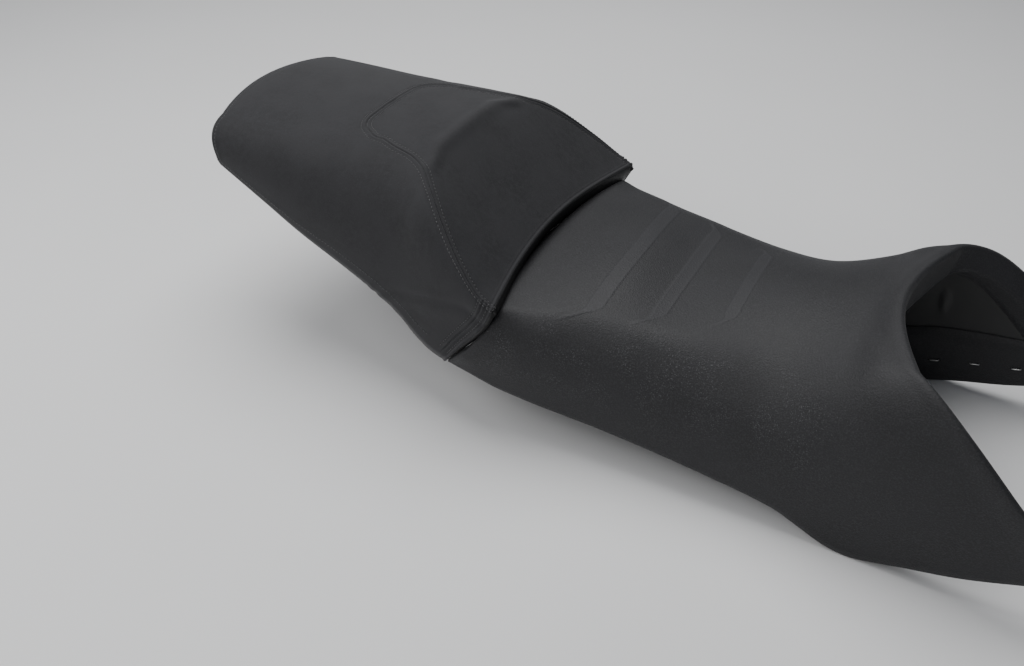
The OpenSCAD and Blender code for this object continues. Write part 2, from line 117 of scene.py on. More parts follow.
def bezier(a, b, c, t):
    return a * (1 - t) ** 2 + b * 2 * t * (1 - t) + c * t**2


def mix(a, b, t):
    return a * (1 - t) + b * t


def step(low, high, x):
    """0 below low, 1 above high, and smooth between."""
    t = np.clip((x - low) / (high - low), 0, 1)
    return t * t * (3 - 2 * t)


def side_share(v):
    return np.maximum(0, (v - V_SHOULDER) / (1 - V_SHOULDER))


class Pad:
    """One seat pad. Its skin is a grid over x and v, which is 0 on the centre line and 1 on the
    lower edges, left positive. v reaches the shoulder line at V_SHOULDER."""

    def __init__(self, lines, ceiling, rear_x, front_x, insets, leads):
        self.lines = lines
        self.ceiling = ceiling
        self.rear_x = rear_x
        self.front_x = front_x
        self.rear_inset, self.front_inset = insets
        self.rear_lead, self.front_lead = leads

    def outer(self, x, v):
        """Points on the skin."""
        a = np.abs(v)
        top, shoulder, crown, control, edge, edge_z = (smooth(line, x) for line in self.lines)
        k = np.minimum(a / V_SHOULDER, 1)
        t = side_share(a)
        bend_z = top - crown - 2 * crown / shoulder * (control - shoulder)
        side_y = bezier(shoulder, control, edge, t)
        side_z = bezier(top - crown, bend_z, edge_z, t)
        y = np.where(a <= V_SHOULDER, shoulder * k, side_y)
        z = np.where(a <= V_SHOULDER, top - crown * k**2, side_z)
        return np.stack([x + 0 * y, np.sign(v) * y, z], axis=-1)

    def inner(self, x, v):
        """Points on the pan's underside."""
        a = np.abs(v)
        _, shoulder, _, control, edge, edge_z = (smooth(line, x) for line in self.lines)
        c = smooth(self.ceiling, x)
        t = side_share(a)
        flat = shoulder - SHOULDER_GAP
        side_y = bezier(flat, control - CONTROL_GAP, edge - SKIRT_T, t)
        y = np.where(a <= V_SHOULDER, flat * a / V_SHOULDER, side_y)
        z = np.where(a <= V_SHOULDER, c, bezier(c, c, edge_z, t))
        return np.stack([x + 0 * y, np.sign(v) * y, z], axis=-1)

    def grids(self, shares, v, turn_rows):
        """The skin and the pan's underside as grids of the same size, over shares of the length
        and over v. The first and last turn_rows rows are the skin's turns round the two ends."""
        a = np.abs(v)
        share = shares[:, None]
        rear, front = self.rear_x(a)[None, :], self.front_x(a)[None, :]
        top = self.outer(mix(rear, front, share), v[None, :])
        part = (1 - RIM_TAPER * a)[None, :]
        rim_rear = rear + self.rear_inset * part
        rim_front = front - self.front_inset * part
        turn = RIM_SHARE * np.arange(turn_rows)[:, None] / turn_rows
        shares = np.concatenate([turn, mix(RIM_SHARE, 1 - RIM_SHARE, share), 1 - turn[::-1]])
        under = self.inner(mix(rim_rear, rim_front, shares), v[None, :])
        lead = (1 - a)[:, None] * np.array([1.0, 0, 0])
        w = (np.arange(turn_rows, 0, -1) / turn_rows)[:, None, None]
        rear_turn = self.turned(top[0], under[0], self.rear_lead * lead, -RIM_GAP, w)
        front_turn = self.turned(top[-1], under[-1], self.front_lead * lead, RIM_GAP, w[::-1])
        return np.concatenate([rear_turn, top, front_turn]), under

    @staticmethod
    def turned(edge, rim, lead, gap, w):
        goal = rim + np.array([gap, 0, 0])
        bend = mix(edge, goal, TURN_START) + lead
        return bezier(edge[None], bend[None], goal[None], w)


def rider_rear_x(v):
    return -317 + 27 * np.minimum(1, v / V_SHOULDER) ** 1.3 - 55 * side_share(v) ** 2


def rider_front_x(v):
    return 60 + 31 * np.minimum(1, v / V_SHOULDER) ** 2 + (WING_REACH - 91) * side_share(v) ** 1.15


rider = Pad(
    lines=[
        [
            (-345, SADDLE_H - 7), (-317, SADDLE_H - 6), (-303, SADDLE_H + 4),
            (-280, SADDLE_H + 8), (-205, SADDLE_H + 14), (-145, SADDLE_H + 4), (-85, SADDLE_H + 10),
            (-15, SADDLE_H + 20), (32, SADDLE_H + 29), (60, SADDLE_H + 40), (91, SADDLE_H + 44),
            (150, SADDLE_H + 44), (200, SADDLE_H + 38), (WING_REACH, SADDLE_H + 28),
        ],
        [
            (-345, 148), (-290, 144), (-250, 128), (-205, 110), (-150, 99), (-80, 82), (-20, 80),
            (40, 97), (91, 112), (150, 124), (WING_REACH, 136),
        ],
        [
            (-345, 4), (-290, 8), (-205, 11), (-150, 5), (-80, 10), (-20, 13), (40, 8), (91, 4),
            (150, 6), (WING_REACH, 8),
        ],
        [
            (-345, 176), (-290, 177), (-205, 160), (-150, 150), (-80, 148), (-20, 152),
            (40, 158), (91, 162), (WING_REACH, 162),
        ],
        [
            (-345, RIDER_SKIRT_HALF_W + 8), (-250, RIDER_SKIRT_HALF_W + 4),
            (-150, RIDER_SKIRT_HALF_W), (-50, RIDER_SKIRT_HALF_W), (60, RIDER_SKIRT_HALF_W + 2),
            (160, RIDER_SKIRT_HALF_W + 4), (WING_REACH, RIDER_SKIRT_HALF_W + 2),
        ],
        [
            (-345, -17), (-287, -34), (-173, -45), (-66, -56), (4, -66), (34, 13 - SKIRT_DEPTH),
            (58, 3 - SKIRT_DEPTH), (80, -SKIRT_DEPTH), (100, 4 - SKIRT_DEPTH),
            (127, 12 - SKIRT_DEPTH), (176, -66), (222, -49), (WING_REACH, -29),
        ],
    ],
    ceiling=[
        (-345, -8), (-250, -8), (-205, -7), (-120, 4), (-84, 16.1), (-66, 16.4), (-30, 16.2),
        (4, 16.2), (14, 17), (40, 42), (65, 62), (91, 78), (150, 76), (200, 69),
        (WING_REACH, 58),
    ],
    rear_x=rider_rear_x,
    front_x=rider_front_x,
    insets=(14, 14),
    leads=(-6, 8),
)

LIP_Z = PILLION_H - 93


def pillion_rear_x(v):
    return -PILLION_REAR + 15 * np.minimum(1, v / V_SHOULDER) ** 2 + 13 * side_share(v) ** 2


def pillion_front_x(v):
    return -308 + 20 * np.minimum(1, v / V_SHOULDER) ** 2 - 62 * side_share(v) ** 3


pillion = Pad(
    lines=[
        [
            (-PILLION_REAR, PILLION_H - 5), (18 - PILLION_REAR, PILLION_H - 1),
            (50 - PILLION_REAR, PILLION_H), (-440, PILLION_H), (-420, PILLION_H - 2),
            (-404, PILLION_H - 9), (-380, PILLION_H - 29), (-340, PILLION_H - 65),
            (-308, LIP_Z), (-288, LIP_Z - 18),
        ],
        [
            (-PILLION_REAR, 94), (-600, 92), (-520, 76), (-491, 70), (-453, 82), (-424, 90),
            (-405, 101), (-385, 119), (-363, 138), (-334, 157), (-307, 169), (-288, 171),
        ],
        [
            (-PILLION_REAR, 12), (-600, 11), (-491, 4), (-453, 6), (-424, 7), (-405, 5),
            (-385, -1), (-363, -3), (-334, -3), (-308, -4), (-288, -10),
        ],
        [
            (-PILLION_REAR, 126), (-597, 141), (-480, 154), (-412, 161), (-363, 170),
            (-307, 177), (-288, 179),
        ],
        [
            (-PILLION_REAR, PILLION_REAR_HALF_W), (-660, PILLION_REAR_HALF_W + 6),
            (-597, PILLION_REAR_HALF_W + 13), (-480, PILLION_REAR_HALF_W + 26),
            (-412, PILLION_REAR_HALF_W + 35), (-350, PILLION_REAR_HALF_W + 46),
            (-288, PILLION_REAR_HALF_W + 49),
        ],
        [
            (-PILLION_REAR, 122), (-660, 113), (-597, 86), (-549, 65), (-480, 41), (-439, 25),
            (-412, 11), (-392, -4), (-372, -14), (-350, -18), (-288, -18),
        ],
    ],
    ceiling=[
        (-PILLION_REAR, 119.5), (-660, 119.2), (-580, 119.2), (-500, 114), (-430, 101),
        (-350, 57), (-288, 50),
    ],
    rear_x=pillion_rear_x,
    front_x=pillion_front_x,
    insets=(14, 26),
    leads=(-6, 1),
)

# ---- Mesh helpers --------------------------------------------------------------------------------


def to_object(name, points, faces, material, shade_smooth=True):
    """A mesh object from points in millimetres."""
    mesh = bpy.data.meshes.new(name)
    mesh.from_pydata([tuple(p) for p in np.asarray(points) * MM], [], faces)
    mesh.validate()
    mesh.update()
    if shade_smooth:
        mesh.polygons.foreach_set("use_smooth", [True] * len(mesh.polygons))
    mesh.materials.append(material)
    piece = bpy.data.objects.new(name, mesh)
    bpy.context.scene.collection.objects.link(piece)
    return piece


def grid_faces(rows, cols, start=0, keep=None):
    """Quads of a grid of points that runs from the rear forward, and from right to left."""
    faces = []
    for i in range(rows - 1):
        for j in range(cols - 1):
            if keep is None or keep[i, j]:
                a = start + i * cols + j
                faces.append((a, a + cols, a + cols + 1, a + 1))
    return faces


def closed_between(upper, lower):
    """Points and faces of the closed solid between two grids of the same size."""
    rows, cols = upper.shape[:2]
    count = rows * cols
    faces = grid_faces(rows, cols)
    faces += [tuple(reversed(f)) for f in grid_faces(rows, cols, count)]
    border = list(range(cols))
    border += [i * cols + cols - 1 for i in range(1, rows)]
    border += [(rows - 1) * cols + j for j in range(cols - 2, -1, -1)]
    border += [i * cols for i in range(rows - 2, 0, -1)]
    for a, b in zip(border, border[1:] + border[:1]):
        faces.append((a, b, count + b, count + a))
    return np.concatenate([upper.reshape(-1, 3), lower.reshape(-1, 3)]), faces


def layer_in(start, goal, t):
    """The grid a distance t in from one grid towards another."""
    d = goal - start
    length = np.linalg.norm(d, axis=-1, keepdims=True)
    return start + d * np.minimum(LAYER_LIMIT, t / length)


def normals(grid):
    """Unit normals of a grid's surface, pointing away from the pad."""
    along = np.gradient(grid, axis=0)
    across = np.gradient(grid, axis=1)
    n = np.cross(along, across)
    return n / np.maximum(np.linalg.norm(n, axis=-1, keepdims=True), 1e-9)


def thickness(piece, t):
    """A closed skin of thickness t in millimetres, inwards from the piece's surface."""
    modifier = piece.modifiers.new("thickness", "SOLIDIFY")
    modifier.thickness = t * MM
    modifier.offset = -1
    modifier.use_rim = True


def place(piece, body, slot, *replaced):
    """The piece rides on a body, and stands for the CAD nodes that it replaces, if any."""
    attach(piece, body)
    if replaced:
        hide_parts(*replaced)


class Skin:
    """Points and faces of a surface that is put together from several grids."""

    def __init__(self):
        self.points = []
        self.faces = []

    def add(self, grid, keep=None, flip=False):
        faces = grid_faces(grid.shape[0], grid.shape[1], len(self.points), keep)
        self.faces += [tuple(reversed(f)) for f in faces] if flip else faces
        self.points += [tuple(p) for p in grid.reshape(-1, 3)]
        return self

    def piece(self, name, material):
        used = sorted({i for face in self.faces for i in face})
        new = {old: i for i, old in enumerate(used)}
        points = [self.points[i] for i in used]
        faces = [tuple(new[i] for i in face) for face in self.faces]
        return to_object(name, points, faces, material)


# ---- Materials -----------------------------------------------------------------------------------


class Look:
    """A procedural material: a Principled shader with a few nodes in front of it. Lengths are in
    millimetres."""

    def __init__(self, name, rough, metal=0.0, sheen=0.0, specular=0.5):
        self.material = bpy.data.materials.new(name)
        self.material.use_nodes = True
        self.tree = self.material.node_tree
        self.shader = self.tree.nodes["Principled BSDF"]
        self.shader.inputs["Metallic"].default_value = metal
        self.shader.inputs["Sheen Weight"].default_value = sheen
        self.shader.inputs["Sheen Roughness"].default_value = 0.45
        self.shader.inputs["Specular IOR Level"].default_value = specular
        self.shader.inputs["Roughness"].default_value = rough
        self.place = self.tree.nodes.new("ShaderNodeTexCoord").outputs["Object"]

    def link(self, source, node, socket):
        self.tree.links.new(source, node.inputs[socket])

    def noise(self, size, detail=3.0, stretch=None):
        node = self.tree.nodes.new("ShaderNodeTexNoise")
        node.inputs["Scale"].default_value = 1 / (size * MM)
        node.inputs["Detail"].default_value = detail
        self.link(self.stretched(stretch), node, "Vector")
        return node.outputs["Fac"]

    def stretched(self, stretch):
        if stretch is None:
            return self.place
        node = self.tree.nodes.new("ShaderNodeMapping")
        node.inputs["Scale"].default_value = stretch
        self.link(self.place, node, "Vector")
        return node.outputs["Vector"]

    def cells(self, size, feature="F1", output="Distance", spread=1.0):
        node = self.tree.nodes.new("ShaderNodeTexVoronoi")
        node.feature = feature
        node.inputs["Scale"].default_value = 1 / (size * MM)
        node.inputs["Randomness"].default_value = spread
        self.link(self.place, node, "Vector")
        return node.outputs[output]

    def ramp(self, value, low, high):
        node = self.tree.nodes.new("ShaderNodeMapRange")
        node.interpolation_type = "SMOOTHSTEP"
        node.inputs["From Min"].default_value = low
        node.inputs["From Max"].default_value = high
        self.link(value, node, "Value")
        return node.outputs["Result"]

    def math(self, operation, a, b=None):
        node = self.tree.nodes.new("ShaderNodeMath")
        node.operation = operation
        for socket, value in enumerate((a, b)):
            if isinstance(value, (int, float)):
                node.inputs[socket].default_value = value
            elif value is not None:
                self.link(value, node, socket)
        return node.outputs[0]

    def axis(self, name):
        node = self.tree.nodes.new("ShaderNodeSeparateXYZ")
        self.link(self.place, node, 0)
        return node.outputs[name]

    def mark(self, name):
        """A value that is stored on the mesh's points."""
        node = self.tree.nodes.new("ShaderNodeAttribute")
        node.attribute_name = name
        return node.outputs["Fac"]

    def colours(self, factor, first, second):
        node = self.tree.nodes.new("ShaderNodeMix")
        node.data_type = "RGBA"
        self.link(factor, node, "Factor")
        for socket, value in (("A", first), ("B", second)):
            target = next(s for s in node.inputs if s.name == socket and s.type == "RGBA")
            if isinstance(value, tuple):
                target.default_value = (*value, 1)
            else:
                self.tree.links.new(value, target)
        return next(s for s in node.outputs if s.type == "RGBA")

    def paint(self, colour):
        self.link(colour, self.shader, "Base Color")

    def roughen(self, factor, low, high):
        node = self.tree.nodes.new("ShaderNodeMapRange")
        node.inputs["To Min"].default_value = low
        node.inputs["To Max"].default_value = high
        self.link(factor, node, "Value")
        self.link(node.outputs["Result"], self.shader, "Roughness")

    def bumps(self, *layers):
        """Each layer is (height, depth in millimetres), from the coarse one to the fine one."""
        normal = None
        for height, depth in layers:
            node = self.tree.nodes.new("ShaderNodeBump")
            node.inputs["Distance"].default_value = depth * MM
            self.link(height, node, "Height")
            if normal is not None:
                self.link(normal, node, "Normal")
            normal = node.outputs["Normal"]
        self.link(normal, self.shader, "Normal")
        return self.material


def grey(value, blue=1.0):
    return (value, value, value * blue)


# Where the rider's vinyl gets painted glints, light specks painted in as highlight. Each pair is
# where it starts and where it is full, in metres
PAINTED_GLINTS_FROM_BELOW = (-0.035, 0.015)
PAINTED_GLINTS_FROM_ABOVE = (0.075, 0.04)
PAINTED_GLINTS_FROM_INSIDE = (0.09, 0.12)
PAINTED_GLINTS_FROM_FRONT = (0.10, 0.0)


def rider_vinyl():
    look = Look("rider_vinyl", rough=0.6, sheen=0.06, specular=0.38)
    cloud = look.noise(60, detail=4)
    grain = look.noise(1.5, detail=2)
    pebble = look.cells(1.3, feature="SMOOTH_F1")
    base = look.colours(look.ramp(cloud, 0.3, 0.7), grey(0.0133, 1.1), grey(0.0175, 1.1))
    grained = look.colours(look.ramp(grain, 0.4, 0.7), base, grey(0.025, 1.1))
    # Painted highlight: the raised bands and the ridges along their edges are lightened, by a value
    # kept on the cover's points
    with_band_highlight = look.colours(look.mark("painted_band_highlight"), grained, grey(0.032, 1.1))
    # Painted highlight: light specks only in a band on the sides, where the grain would catch the
    # light
    chance = look.cells(0.75, output="Color")
    painted_glint_cells = look.ramp(chance, 0.66, 0.92)
    painted_glints = painted_glint_cells
    for limit in (
        look.ramp(look.axis("Z"), *PAINTED_GLINTS_FROM_BELOW),
        look.ramp(look.axis("Z"), *PAINTED_GLINTS_FROM_ABOVE),
        look.ramp(look.math("ABSOLUTE", look.axis("Y")), *PAINTED_GLINTS_FROM_INSIDE),
        look.ramp(look.axis("X"), *PAINTED_GLINTS_FROM_FRONT),
        look.ramp(look.noise(34, detail=2), 0.38, 0.6),
        look.ramp(grain, 0.4, 0.6),
    ):
        painted_glints = look.math("MULTIPLY", painted_glints, limit)
    look.paint(look.colours(painted_glints, with_band_highlight, grey(0.085, 1.05)))
    look.roughen(cloud, 0.52, 0.66)
    return look.bumps((cloud, 0.5), (pebble, 0.3), (grain, 0.14))


def pillion_suede():
    look = Look("pillion_suede", rough=0.8, sheen=0.14, specular=0.3)
    cloud = look.noise(45, detail=5)
    nap = look.noise(6, detail=4)
    fibre = look.noise(0.9, detail=3)
    base = look.colours(look.ramp(cloud, 0.3, 0.7), grey(0.016, 1.1), grey(0.0225, 1.1))
    brushed = look.colours(look.ramp(nap, 0.35, 0.75), base, grey(0.025, 1.1))
    look.paint(look.colours(look.ramp(fibre, 0.45, 0.8), brushed, grey(0.033, 1.1)))
    look.roughen(nap, 0.74, 0.9)
    return look.bumps((cloud, 0.4), (nap, 0.12), (fibre, 0.12))


def strip_vinyl():
    look = Look("strip_vinyl", rough=0.5, specular=0.4)
    grain = look.noise(1.1, detail=2)
    pebble = look.cells(1.0, feature="SMOOTH_F1")
    look.paint(look.colours(look.ramp(grain, 0.3, 0.7), grey(0.008), grey(0.013)))
    look.roughen(grain, 0.45, 0.6)
    return look.bumps((pebble, 0.15))


def thread():
    look = Look("thread", rough=0.55, sheen=0.3)
    ply = look.noise(0.5, detail=1)
    look.paint(look.colours(ply, grey(0.024, 1.05), grey(0.05, 1.05)))
    return look.bumps((ply, 0.1))


def moulded_foam():
    look = Look("moulded_foam", rough=0.95, specular=0.2)
    pores = look.cells(1.2)
    cloud = look.noise(40, detail=3)
    base = look.colours(cloud, (0.60, 0.50, 0.26), (0.74, 0.64, 0.36))
    # Painted shade: the pore centres are painted darker, as the shade inside the open cells
    look.paint(look.colours(look.ramp(pores, 0.5, 0.1), base, (0.38, 0.31, 0.15)))
    return look.bumps((cloud, 0.6), (pores, 0.3))


def moulded_plastic():
    look = Look("moulded_plastic", rough=0.5)
    cloud = look.noise(70, detail=3)
    grain = look.noise(0.7, detail=2)
    look.paint(look.colours(cloud, grey(0.012), grey(0.022)))
    look.roughen(cloud, 0.42, 0.6)
    return look.bumps((grain, 0.08))


def moulded_rubber():
    look = Look("moulded_rubber", rough=0.8, specular=0.35)
    dust = look.noise(9, detail=5)
    grain = look.noise(0.8, detail=2)
    look.paint(look.colours(look.ramp(dust, 0.45, 0.8), grey(0.010), grey(0.035)))
    look.roughen(dust, 0.7, 0.9)
    return look.bumps((grain, 0.06))


def zinc_steel():
    look = Look("zinc_steel", rough=0.35, metal=1.0)
    spangle = look.cells(7, output="Color")
    haze = look.noise(18, detail=4)
    rolled = look.noise(1.5, detail=3, stretch=(0.15, 1, 1))
    base = look.colours(spangle, (0.52, 0.53, 0.55), (0.62, 0.62, 0.60))
    look.paint(look.colours(look.ramp(haze, 0.4, 0.75), base, (0.42, 0.42, 0.40)))
    look.roughen(haze, 0.28, 0.5)
    return look.bumps((rolled, 0.03))


def turned_brass():
    look = Look("turned_brass", rough=0.3, metal=1.0)
    haze = look.noise(8, detail=4)
    rings = look.noise(0.5, detail=1, stretch=(0.1, 0.1, 1))
    look.paint(look.colours(haze, (0.60, 0.40, 0.15), (0.72, 0.53, 0.24)))
    look.roughen(haze, 0.22, 0.4)
    return look.bumps((rings, 0.05))


VINYL = rider_vinyl()
SUEDE = pillion_suede()
STRIP = strip_vinyl()
THREAD = thread()
FOAM = moulded_foam()
PLASTIC = moulded_plastic()
RUBBER = moulded_rubber()
ZINC = zinc_steel()
BRASS = turned_brass()

HARDWARE = {
    "front_hook_bracket": ZINC,
    "front_bracket_inserts": BRASS,
    "front_bracket_screws": ZINC,
    "rider_mid_buffers": RUBBER,
    "rider_rear_buffers": RUBBER,
    "tank_rest_pads": RUBBER,
    "rear_tongue_plate": ZINC,
    "rear_tongue_inserts": BRASS,
    "rear_tongue_screws": ZINC,
    "left_front_tongue": ZINC,
    "right_front_tongue": ZINC,
    "front_tongue_inserts": BRASS,
    "front_tongue_screws": ZINC,
    "striker_plate": ZINC,
    "latch_striker": ZINC,
    "striker_nuts": ZINC,
    "striker_inserts": BRASS,
    "striker_screws": ZINC,
    "pillion_front_buffers": RUBBER,
    "pillion_rear_buffers": RUBBER,
}
for node, material in HARDWARE.items():
    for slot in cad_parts[node].material_slots:
        slot.material = material

# ---- Skins, hems, foams and pans -------------------------------------------------------------------

TURN_ROWS = 12
HEM_T = 1.2

# The side hems end at this v, and the end hems run this many rows past the turn
HEM_V = 0.9
HEM_ROWS = 4

# A side hem rolls under the edge, sagging this much, and then climbs the skirt by these shares.
# It lies this far below the skirt's points
HEM_SAG = 2.5
HEM_ROLL_COLS = 7
HEM_CLIMB = (0.35, 0.7, 1.0)
HEM_DROP = 0.4


def off_skirt(inwards):
    """How far a hem lies off the pan's skirt. inwards is 1 on the right side and -1 on the left."""
    return np.array([0, inwards * HEM_T, -HEM_DROP])


def side_hem_cols(cols):
    """How many of a grid's columns lie under each side hem."""
    return round((1 - HEM_V) / 2 * (cols - 1))


def with_side_hems(skin, under):
    """The skin's grid with columns added that roll under each lower edge and up inside the pan."""
    cols = skin.shape[1]
    inside = side_hem_cols(cols)
    hems = []
    for edge, up, inwards in ((0, inside, 1), (cols - 1, cols - 1 - inside, -1)):
        away = off_skirt(inwards)
        outer, rim = skin[:, edge], under[:, edge] + away
        bend = mix(outer, rim, 0.5) + np.array([0, 0, -HEM_SAG])
        roll = [bezier(outer, bend, rim, t) for t in np.linspace(0, 1, HEM_ROLL_COLS + 1)[1:]]
        climb = [mix(rim, under[:, up] + away, t) for t in HEM_CLIMB]
        hems.append(np.stack(roll + climb, axis=1))
    return np.concatenate([hems[0][:, ::-1], skin, hems[1]], axis=1)


def add_end_hem(whole, skin, under, rear):
    """Adds the hem that runs from the skin's end row round the pan's rim, and then, between the
    side hems, along the pan's underside."""
    cols = skin.shape[1]
    inside = side_hem_cols(cols)
    off = np.tile([0, 0, -HEM_T], (cols, 1))
    off[:inside] = off_skirt(1)
    off[cols - inside :] = off_skirt(-1)
    order = (0, TURN_ROWS // 2, TURN_ROWS, TURN_ROWS + HEM_ROWS)
    rows = [skin[0] if rear else skin[-1]]
    rows += [(under[i] if rear else under[-1 - i]) + off for i in order]
    keep = np.zeros((len(rows), cols), bool)
    keep[0] = True
    keep[:, inside : cols - inside - 1] = True
    return whole.add(np.stack(rows), keep, flip=rear)


def cover_skin(skin, under):
    whole = Skin().add(with_side_hems(skin, under))
    add_end_hem(whole, skin, under, rear=True)
    return add_end_hem(whole, skin, under, rear=False)


def every(grid, n):
    """Each n-th row and column of a grid, with its last ones."""
    rows = sorted({*range(0, grid.shape[0], n), grid.shape[0] - 1})
    cols = sorted({*range(0, grid.shape[1], n), grid.shape[1] - 1})
    return grid[rows][:, cols]


FOAM_SETTLED = 1.6
FOAM_SETTLE_ROWS = 6
FOAM_COARSENESS = 2


def foam_piece(name, skin, under):
    """The moulded foam, a crowned closed form that fills the space between cover and pan."""
    rows, cols = (np.arange(n) for n in skin.shape[:2])
    from_ends = np.minimum(rows, rows[::-1])[:, None]
    from_edges = np.minimum(cols, cols[::-1])[None, :]
    settled = FOAM_SETTLED * step(0, FOAM_SETTLE_ROWS, np.minimum(from_ends, from_edges))
    top = displaced(layer_in(skin, under, COVER_T), -settled)
    bottom = layer_in(under, skin, PAN_T)
    points, faces = closed_between(every(top, FOAM_COARSENESS), every(bottom, FOAM_COARSENESS))
    return to_object(name, points, faces, FOAM)


RIB_HEIGHT = 2.2
RIB_HALF_W = 2.4
RIB_SLOPE = 1.6
RIB_PITCH = 46
RIB_MARGIN = 8
RIB_FADE = 4

# The ribs fade out between these v, and between these shares of the half length
RIB_V_FADE = (0.84, 0.8)
RIB_END_FADE = (0.82, 0.78)


def clear_zones(nodes):
    """Where a pan has no ribs: (lowest x, highest x, highest y either side), in millimetres."""
    boxes = [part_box(name) for name in nodes]
    return [
        (low.x / MM - RIB_MARGIN, high.x / MM + RIB_MARGIN, high.y / MM + RIB_MARGIN)
        for low, high in boxes
    ]


def ribbed(under, v, zones, rib_ys):
    """The pan's underside with moulded ribs, clear of the hardware, the rims and the hem."""
    x, y = under[..., 0], np.abs(under[..., 1])
    across = np.abs(x / RIB_PITCH - np.round(x / RIB_PITCH)) * RIB_PITCH
    along = np.min([np.abs(y - rib_y) for rib_y in rib_ys], axis=0)
    height = RIB_HEIGHT * step(RIB_HALF_W + RIB_SLOPE, RIB_HALF_W, np.minimum(across, along))
    height = height * step(*RIB_V_FADE, np.abs(v))[None, :]
    place_in_rows = np.linspace(-1, 1, len(under))[:, None]
    height = height * step(*RIB_END_FADE, np.abs(place_in_rows))
    for low, high, side in zones:
        height = height * step(0, RIB_FADE, np.maximum.reduce([low - x, x - high, y - side]))
    return under - normals(under) * height[..., None]


def pan_piece(name, skin, under, v, hardware, rib_ys):
    top = layer_in(under, skin, PAN_T)
    points, faces = closed_between(top, ribbed(under, v, clear_zones(hardware), rib_ys))
    return to_object(name, points, faces, PLASTIC)


STAPLE_LENGTH = 9
STAPLE_PITCH = 40
STAPLE_WIRE = 0.6
STAPLE_V = HEM_V + 0.055
STAPLE_PROUD = HEM_T + 1.6 + STAPLE_WIRE
STAPLE_SUNK = 0.4

# The crown runs between these shares of the length, and the legs bend at this share of its height
STAPLE_CROWN = (0.06, 0.3, 0.5, 0.7, 0.94)
STAPLE_BEND = 0.8


def ring_faces(rings, sides):
    """Faces of a closed tube through rings of points that follow each other."""
    faces = [tuple(range(sides - 1, -1, -1))]
    for i in range(rings - 1):
        for j in range(sides):
            a, b = i * sides + j, i * sides + (j + 1) % sides
            faces.append((a, b, b + sides, a + sides))
    last = (rings - 1) * sides
    faces.append(tuple(range(last, last + sides)))
    return faces


def rod(points, radius, sides=8):
    """Points and faces of a round rod along a few points, closed at both ends."""
    path = np.asarray(points, float)
    tangents = np.gradient(path, axis=0)
    tangents /= np.linalg.norm(tangents, axis=1, keepdims=True)
    nearly_up = np.array([0.0, 0.0, 1.0]) + tangents[::-1] * 0.01
    flat = np.cross(tangents, nearly_up)
    flat /= np.linalg.norm(flat, axis=1, keepdims=True)
    upright = np.cross(flat, tangents)
    angle = np.linspace(0, 2 * math.pi, sides, endpoint=False)[None, :, None]
    around = np.cos(angle) * flat[:, None] + np.sin(angle) * upright[:, None]
    rings = path[:, None] + radius * around
    return rings.reshape(-1, 3), ring_faces(len(path), sides)


def joined(parts):
    """One list of points and one of faces from several (points, faces)."""
    points, faces = [], []
    for part_points, part_faces in parts:
        start = sum(len(p) for p in points)
        points.append(part_points)
        faces += [tuple(i + start for i in face) for face in part_faces]
    return np.concatenate(points), faces


def staple_piece(name, pad, xs):
    """Wire staples on the hem inside both skirts. Each has a crown and two bent legs."""
    parts = []
    for x in xs:
        for side in (-1, 1):
            v = np.array(side * STAPLE_V)
            a = pad.inner(np.array(x - STAPLE_LENGTH / 2), v)
            b = pad.inner(np.array(x + STAPLE_LENGTH / 2), v)
            proud = np.array([0, -side * STAPLE_PROUD, 0])
            sunk = np.array([0, -side * STAPLE_SUNK, 0])
            crown = [mix(a, b, t) + proud for t in STAPLE_CROWN]
            legs = [[end + sunk, end + proud * STAPLE_BEND] for end in (a, b)]
            parts.append(rod([*legs[0], *crown, *reversed(legs[1])], STAPLE_WIRE))
    points, faces = joined(parts)
    return to_object(name, points, faces, ZINC)


# ---- Seams and stitches ----------------------------------------------------------------------------


def resampled(points, pitch):
    """Points at equal steps of about pitch along a line."""
    length = np.concatenate([[0], np.cumsum(np.linalg.norm(np.diff(points, axis=0), axis=1))])
    at = np.linspace(0, length[-1], max(2, round(length[-1] / pitch) + 1))
    return np.stack([np.interp(at, length, points[:, k]) for k in range(3)], axis=1)


def unit(vectors):
    return vectors / np.maximum(np.linalg.norm(vectors, axis=-1, keepdims=True), 1e-9)


SEAM_PITCH = 1.0
SEAM_END_REACH = 2.5
FAR = 99

# Small steps in x and v over which the skin's slopes are measured
SLOPE_X = 0.5
SLOPE_V = 0.002


class Seam:
    """A line on a pad's skin. side points to its left as seen from outside."""

    def __init__(self, pad, xs, vs):
        xs, vs = np.asarray(xs, float), np.asarray(vs, float)
        raw = pad.outer(xs, vs)
        along = pad.outer(xs + SLOPE_X, vs) - pad.outer(xs - SLOPE_X, vs)
        across = pad.outer(xs, vs + SLOPE_V) - pad.outer(xs, vs - SLOPE_V)
        n = unit(np.cross(along, across))
        self.points = resampled(raw, SEAM_PITCH)
        nearest = [int(np.argmin(np.linalg.norm(raw - p, axis=1))) for p in self.points]
        self.normals = n[nearest]
        self.tangents = unit(np.gradient(self.points, axis=0))
        self.side = unit(np.cross(self.normals, self.tangents))
        self.tree = KDTree(len(self.points))
        for i, p in enumerate(self.points):
            self.tree.insert(p, i)
        self.tree.balance()

    def distance(self, grid):
        """Signed distances of a grid's points to the line, positive on its left. Beyond the
        line's ends they are far."""
        flat = grid.reshape(-1, 3)
        i = np.array([self.tree.find(p)[1] for p in flat])
        away = flat - self.points[i]
        across = np.sum(away * self.side[i], axis=1)
        beyond = np.abs(np.sum(away * self.tangents[i], axis=1)) > SEAM_END_REACH
        return np.where(beyond, np.copysign(FAR, across), across).reshape(grid.shape[:2])


def ridge(d, at, width):
    return np.exp(-(((d - at) / width) ** 2))


